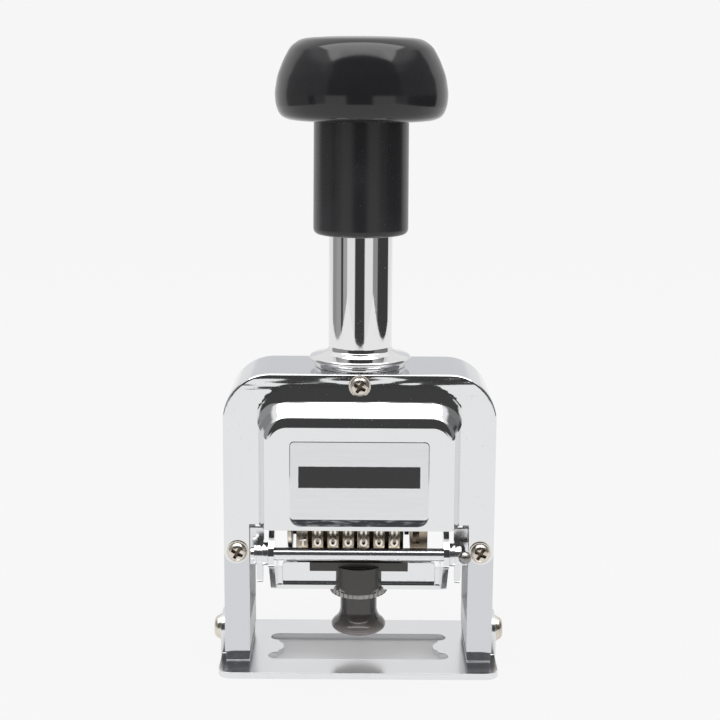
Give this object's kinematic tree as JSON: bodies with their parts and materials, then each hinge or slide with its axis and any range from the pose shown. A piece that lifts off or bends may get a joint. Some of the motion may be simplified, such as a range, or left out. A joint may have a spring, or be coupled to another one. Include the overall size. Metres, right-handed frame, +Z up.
{
  "type": "numbering machine",
  "caption": "Hand-pressed numbering stamp: a palm knob drives number wheels down through the base while the ink pad swings out in front.",
  "frame": {"origin": "middle of the underside of the base plate, on the table", "axes": "+X to the right as seen from the front, +Y to the back, +Z up along the plunger"},
  "size_m": [0.0702, 0.04, 0.1482],
  "materials": {
    "frame_chrome": "bright chrome plate on pressed steel",
    "cover_chrome": "bright chrome plate",
    "base_chrome": "satin chrome plate",
    "tube_chrome": "bright chrome plate",
    "label_metal": "plain satin label foil",
    "black_plastic": "glossy black moulding",
    "foot_rubber": "dark rubber",
    "nickel": "nickel plate, slightly warm",
    "steel": "plain bright steel",
    "spring_steel": "spring steel",
    "wheel_bronze": "dull brown bronze",
    "yoke_metal": "dull die casting",
    "felt": "inked felt",
    "dark_plastic": "dark grey moulding"
  },
  "bodies": {
    "frame": {"main_frame": "frame_chrome", "front_cover": "cover_chrome", "rear_cover": "cover_chrome", "label_plate": "label_metal", "base_plate": "base_chrome", "foot_spacers": "foot_rubber", "guide_tube": "tube_chrome", "tube_nut": "nickel", "guide_bracket": "steel", "cross_rod": "tube_chrome", "rod_hangers": "frame_chrome", "rod_washers": "frame_chrome", "rod_clip": "steel", "front_cover_screws": "nickel", "rear_cover_screws": "nickel", "base_screws": "nickel"},
    "plunger": {"palm_knob": "black_plastic", "knob_sleeve": "black_plastic", "plunger_rod": "steel", "return_spring": "spring_steel", "rod_nut": "nickel", "wheel_yoke": "yoke_metal", "wheel_axle": "steel", "axle_clip": "spring_steel", "drive_pins": "steel", "detent_comb": "spring_steel", "selector_bracket": "yoke_metal"},
    "wheel_1": {"number_wheel_1": "wheel_bronze"},
    "wheel_2": {"number_wheel_2": "wheel_bronze"},
    "wheel_3": {"number_wheel_3": "wheel_bronze"},
    "wheel_4": {"number_wheel_4": "wheel_bronze"},
    "wheel_5": {"number_wheel_5": "wheel_bronze"},
    "wheel_6": {"number_wheel_6": "wheel_bronze"},
    "wheel_7": {"number_wheel_7": "wheel_bronze"},
    "selector": {"repeat_selector": "wheel_bronze"},
    "pawls": {"pawl_frame": "steel", "pawl_comb": "spring_steel"},
    "pad": {"pad_carrier": "frame_chrome", "ink_box": "cover_chrome", "ink_pad": "felt", "handle_bracket": "dark_plastic", "handle_screw": "steel"},
    "pad_grip": {"knurled_nut": "nickel", "pad_knob": "dark_plastic"},
    "lock": {"lock_button": "steel"}
  },
  "joints": [
    {"name": "plunger_slide", "type": "slide", "parent": "frame", "child": "plunger", "axis": [0, 0, -1], "range_m": [0, 0.0236], "stiffness_N_per_m": 400, "springref_m": -0.015, "deforming": ["return_spring"]},
    {"name": "wheel_1_spin", "type": "hinge", "parent": "plunger", "child": "wheel_1", "pos_m": [0, 0, 0.034], "axis": [1, 0, 0], "continuous": true},
    {"name": "wheel_2_spin", "type": "hinge", "parent": "plunger", "child": "wheel_2", "pos_m": [0, 0, 0.034], "axis": [1, 0, 0], "continuous": true},
    {"name": "wheel_3_spin", "type": "hinge", "parent": "plunger", "child": "wheel_3", "pos_m": [0, 0, 0.034], "axis": [1, 0, 0], "continuous": true},
    {"name": "wheel_4_spin", "type": "hinge", "parent": "plunger", "child": "wheel_4", "pos_m": [0, 0, 0.034], "axis": [1, 0, 0], "continuous": true},
    {"name": "wheel_5_spin", "type": "hinge", "parent": "plunger", "child": "wheel_5", "pos_m": [0, 0, 0.034], "axis": [1, 0, 0], "continuous": true},
    {"name": "wheel_6_spin", "type": "hinge", "parent": "plunger", "child": "wheel_6", "pos_m": [0, 0, 0.034], "axis": [1, 0, 0], "continuous": true},
    {"name": "wheel_7_spin", "type": "hinge", "parent": "plunger", "child": "wheel_7", "pos_m": [0, 0, 0.034], "axis": [1, 0, 0], "continuous": true},
    {"name": "selector_turn", "type": "hinge", "parent": "plunger", "child": "selector", "pos_m": [0, 0, 0.034], "axis": [1, 0, 0], "range_deg": [0, 270]},
    {"name": "pawl_rock", "type": "hinge", "parent": "plunger", "child": "pawls", "pos_m": [0, 0, 0.034], "axis": [1, 0, 0], "range_deg": [0, 36.01]},
    {"name": "pad_swing", "type": "hinge", "parent": "frame", "child": "pad", "pos_m": [0, -0.014, 0.0293], "axis": [-1, 0, 0], "range_deg": [0, 96.01]},
    {"name": "pad_grip_spin", "type": "hinge", "parent": "pad", "child": "pad_grip", "pos_m": [0, -0.003, 0.012], "axis": [0, 0, 1], "continuous": true},
    {"name": "lock_press", "type": "slide", "parent": "frame", "child": "lock", "axis": [0, 1, 0], "range_m": [0, 0.0017], "stiffness_N_per_m": 300, "springref_m": -0.001}
  ],
  "couplings": [
    {"joint": "pawl_rock", "follows": "plunger_slide", "rad_per_m": 26.624},
    {"joint": "pad_swing", "follows": "plunger_slide", "rad_per_m": 70.996}
  ]
}
